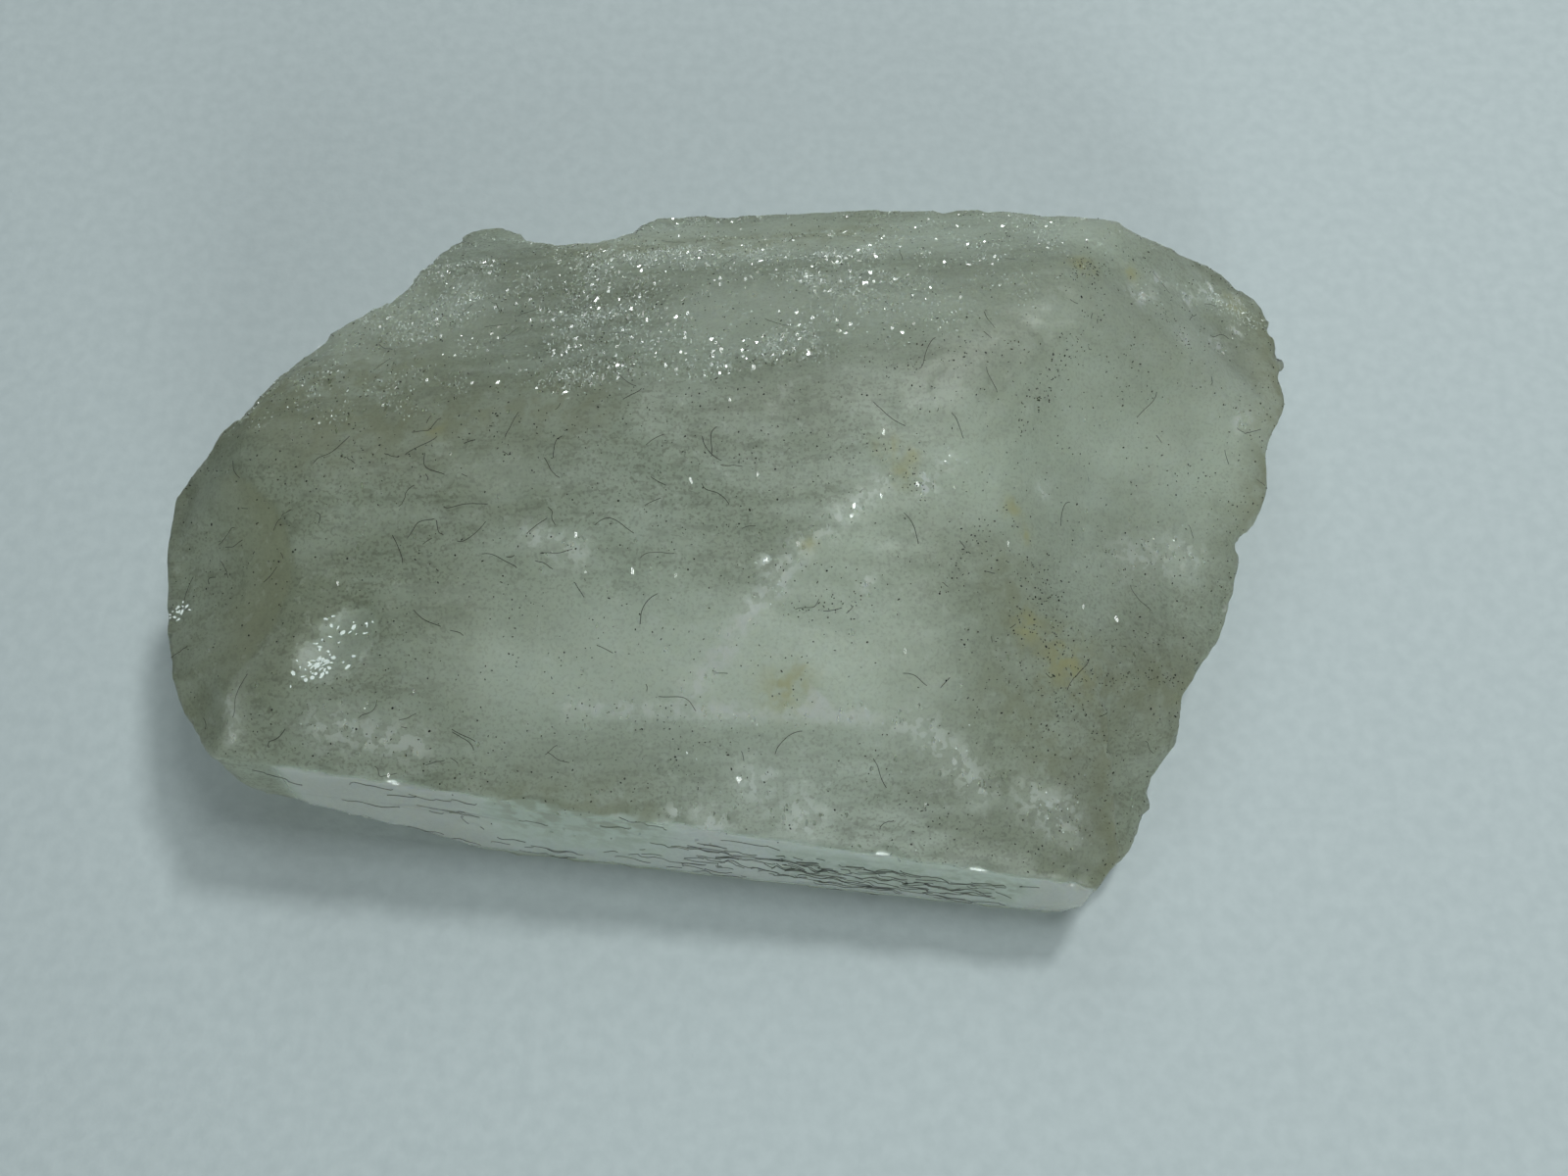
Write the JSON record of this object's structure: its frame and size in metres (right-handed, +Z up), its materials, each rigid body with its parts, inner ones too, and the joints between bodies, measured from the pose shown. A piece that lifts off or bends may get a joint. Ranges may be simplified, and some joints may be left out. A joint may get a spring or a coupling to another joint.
{
  "type": "quartz crystal",
  "caption": "Broken piece of a milky quartz prism lying on its side, with flat faces, an etched back face, shell-shaped breaks at both ends and a flat underside.",
  "frame": {"origin": "on the surface that the crystal lies on, under the middle of its bounding box", "axes": "+X along the prism, towards the steeper broken end; +Y towards the etched back face; +Z up"},
  "size_m": [0.0812, 0.0548, 0.0208],
  "materials": {
    "quartz": "satin"
  },
  "bodies": {
    "root": {"quartz_crystal": "quartz"}
  },
  "joints": []
}
